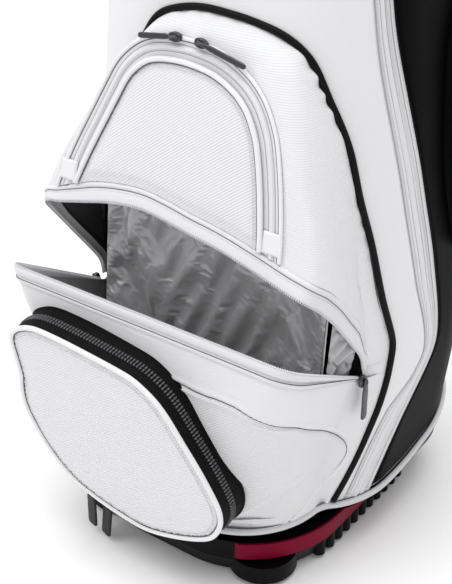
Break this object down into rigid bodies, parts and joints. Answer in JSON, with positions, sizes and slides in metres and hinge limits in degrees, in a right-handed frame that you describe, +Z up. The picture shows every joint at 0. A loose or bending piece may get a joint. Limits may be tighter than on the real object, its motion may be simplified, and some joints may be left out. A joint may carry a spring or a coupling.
{
  "type": "golf staff bag",
  "caption": "Upright golf staff bag with a moulded base and cuff, divided club wells, an open cooler pocket with hinged lips, a ball pocket door, zipper sliders and a shoulder strap.",
  "frame": {"origin": "on the floor, under the middle of the moulded base", "axes": "+Z up along the trunk, -Y towards the front pockets, +X to the right seen from the front"},
  "size_m": [0.3632, 0.4687, 0.919],
  "materials": {
    "white_leather": "satin",
    "white_twill": "matte",
    "white_zipper": "matte",
    "black_zipper": "matte",
    "black_leather": "satin",
    "light_piping": "satin",
    "black_piping": "satin",
    "grey_satin": "satin",
    "lining": "matte",
    "black_moulding": "satin",
    "grip_rubber": "matte",
    "crimson_inlay": "gloss",
    "foot_rubber": "matte",
    "foam": "matte",
    "webbing": "matte",
    "silver_metal": "polished",
    "dark_metal": "satin",
    "puller_rubber": "matte",
    "aluminium": "satin"
  },
  "bodies": {
    "u_zip_left_slider": {"u_zip_left_slider": "silver_metal"},
    "u_zip_left_puller": {"u_zip_left_puller": "silver_metal"},
    "u_zip_right_slider": {"u_zip_right_slider": "silver_metal"},
    "u_zip_right_puller": {"u_zip_right_puller": "silver_metal"},
    "mouth_left_puller": {"mouth_left_puller": "puller_rubber"},
    "mouth_right_puller": {"mouth_right_puller": "silver_metal"},
    "ball_zip_right_slider": {"ball_zip_right_slider": "dark_metal"},
    "ball_zip_right_puller": {"ball_zip_right_puller": "puller_rubber"},
    "ball_zip_left_slider": {"ball_zip_left_slider": "dark_metal"},
    "ball_zip_left_puller": {"ball_zip_left_puller": "puller_rubber"},
    "side_zip_left_slider": {"side_zip_left_slider": "silver_metal"},
    "side_zip_left_puller": {"side_zip_left_puller": "silver_metal"},
    "side_zip_right_slider": {"side_zip_right_slider": "silver_metal"},
    "side_zip_right_puller": {"side_zip_right_puller": "silver_metal"},
    "upper_lip": {"upper_lip": "white_twill"},
    "lower_lip": {"lower_lip": "white_twill"},
    "ball_door": {"ball_door": "white_twill"},
    "towel_ring": {"towel_ring": "silver_metal"},
    "root": {"front_panel": "white_leather", "back_panel": "white_leather", "side_pocket_left": "white_leather", "side_pocket_right": "white_leather", "lower_pocket": "white_twill", "upper_pocket": "white_twill", "u_pocket_face": "white_twill", "side_zip_left": "white_zipper", "side_zip_right": "white_zipper", "u_zip_tape": "white_zipper", "ball_gusset": "black_zipper", "side_panel_left": "black_leather", "side_panel_right": "black_leather", "strap_anchors": "black_leather", "hem_piping": "light_piping", "arch_piping": "black_piping", "cooler_liner": "grey_satin", "pocket_lining_left": "lining", "pocket_lining_right": "lining", "divider_long_wall": "lining", "divider_cross_walls": "lining", "base_tray": "black_moulding", "base_ribs": "black_moulding", "cuff_ring": "black_moulding", "cuff_divider": "black_moulding", "umbrella_ring": "black_moulding", "umbrella_cup": "black_moulding", "front_grip": "grip_rubber", "rear_grip": "grip_rubber", "base_inlay": "crimson_inlay", "foot_pads": "foot_rubber", "base_foam_pad": "foam", "strap_webbing": "webbing", "strap_pad": "webbing", "towel_ring_tab": "webbing", "mouth_right_slider": "silver_metal", "mouth_left_slider": "dark_metal", "strap_d_rings": "dark_metal", "base_screws": "dark_metal", "trunk_stays": "aluminium"}
  },
  "joints": [
    {"name": "u_zip_left_slide", "type": "hinge", "parent": "root", "child": "u_zip_left_slider", "pos_m": [0, -0.14034, 0.37112], "axis": [0, -0.9715, 0.2368], "range_deg": [0, 15]},
    {"name": "u_zip_left_flip", "type": "hinge", "parent": "u_zip_left_slider", "child": "u_zip_left_puller", "pos_m": [-0.01099, -0.11742, 0.5061], "axis": [-0.0802, 0.2361, 0.9684], "range_deg": [0, 165]},
    {"name": "u_zip_right_slide", "type": "hinge", "parent": "root", "child": "u_zip_right_slider", "pos_m": [0, -0.14034, 0.37112], "axis": [0, 0.9715, -0.2368], "range_deg": [0, 15]},
    {"name": "u_zip_right_flip", "type": "hinge", "parent": "u_zip_right_slider", "child": "u_zip_right_puller", "pos_m": [0.01289, -0.11746, 0.50593], "axis": [-0.0941, -0.2358, -0.9672], "range_deg": [0, 165]},
    {"name": "mouth_left_puller_swing", "type": "hinge", "parent": "root", "child": "mouth_left_puller", "pos_m": [-0.1592, -0.066, 0.214], "axis": [0, 1, 0], "range_deg": [0, 110]},
    {"name": "mouth_right_puller_swing", "type": "hinge", "parent": "root", "child": "mouth_right_puller", "pos_m": [0.1592, -0.066, 0.214], "axis": [0, -1, 0], "range_deg": [0, 110]},
    {"name": "ball_zip_right_slide", "type": "slide", "parent": "root", "child": "ball_zip_right_slider", "axis": [0.9896, 0.0168, -0.1427], "range_m": [0, 0.03]},
    {"name": "ball_zip_right_puller_swing", "type": "hinge", "parent": "ball_zip_right_slider", "child": "ball_zip_right_puller", "pos_m": [-0.05072, -0.17817, 0.06091], "axis": [0, 0.9932, 0.1167], "range_deg": [-60, 25]},
    {"name": "ball_zip_left_slide", "type": "slide", "parent": "root", "child": "ball_zip_left_slider", "axis": [-0.9015, -0.0505, 0.4298], "range_m": [0, 0.025]},
    {"name": "ball_zip_left_puller_swing", "type": "hinge", "parent": "ball_zip_left_slider", "child": "ball_zip_left_puller", "pos_m": [-0.07474, -0.17898, 0.06777], "axis": [0, 0.9932, 0.1167], "range_deg": [-25, 60]},
    {"name": "side_zip_left_slide", "type": "slide", "parent": "root", "child": "side_zip_left_slider", "axis": [-0.0169, 0.0044, -0.9998], "range_m": [0, 0.075]},
    {"name": "side_zip_left_puller_swing", "type": "hinge", "parent": "side_zip_left_slider", "child": "side_zip_left_puller", "pos_m": [-0.1326, -0.04934, 0.79008], "axis": [-0.515, 0.8571, 0.0125], "range_deg": [0, 110]},
    {"name": "side_zip_right_slide", "type": "slide", "parent": "root", "child": "side_zip_right_slider", "axis": [0.0169, 0.0044, -0.9998], "range_m": [0, 0.075]},
    {"name": "side_zip_right_puller_swing", "type": "hinge", "parent": "side_zip_right_slider", "child": "side_zip_right_puller", "pos_m": [0.1326, -0.04934, 0.79008], "axis": [-0.515, -0.8571, -0.0125], "range_deg": [0, 110]},
    {"name": "mouth_upper_close", "type": "hinge", "parent": "root", "child": "upper_lip", "pos_m": [0, -0.057, 0.21], "axis": [1, 0, 0], "range_deg": [0, 13]},
    {"name": "mouth_lower_close", "type": "hinge", "parent": "root", "child": "lower_lip", "pos_m": [0, -0.057, 0.21], "axis": [-1, 0, 0], "range_deg": [0, 13]},
    {"name": "ball_door_open", "type": "hinge", "parent": "root", "child": "ball_door", "pos_m": [0, -0.17833, 0.06223], "axis": [1, 0, 0], "range_deg": [0, 50]},
    {"name": "towel_ring_swing", "type": "hinge", "parent": "root", "child": "towel_ring", "pos_m": [-0.1448, 0.04, 0.808], "axis": [0, 1, 0], "range_deg": [0, 85]}
  ],
  "couplings": [
    {"joint": "mouth_lower_close", "follows": "mouth_upper_close", "ratio": 1}
  ]
}
